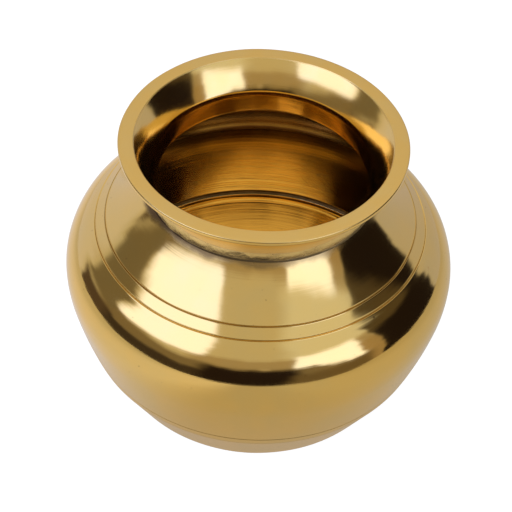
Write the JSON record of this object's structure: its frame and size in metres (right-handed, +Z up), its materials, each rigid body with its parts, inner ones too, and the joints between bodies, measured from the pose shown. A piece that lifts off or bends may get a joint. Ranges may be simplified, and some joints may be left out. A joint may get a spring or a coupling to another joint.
{
  "type": "brass kalash pot",
  "caption": "Round-bellied brass water pot with a flared neck, flat lip, engraved lines on the shoulder and foot, and a flat base; used for water, rituals and household storage.",
  "frame": {"origin": "centre of the flat underside, on the ground", "axes": "+Z up along the pot's axis of turning; X and Y are any two directions across it, since the pot is round"},
  "size_m": [0.13, 0.13, 0.0966],
  "materials": {
    "polished_brass": "mirror polish",
    "satin_brass": "hand-buffed satin",
    "turned_brass": "fine turned, lightly brushed",
    "braze": "rough, darkened by flux"
  },
  "bodies": {
    "root": {"base_cap": "satin_brass", "base_braze": "braze", "bowl_shell": "satin_brass", "belly_braze": "braze", "shoulder_shell": "polished_brass", "neck_braze": "braze", "mouth_collar": "turned_brass"}
  },
  "joints": []
}
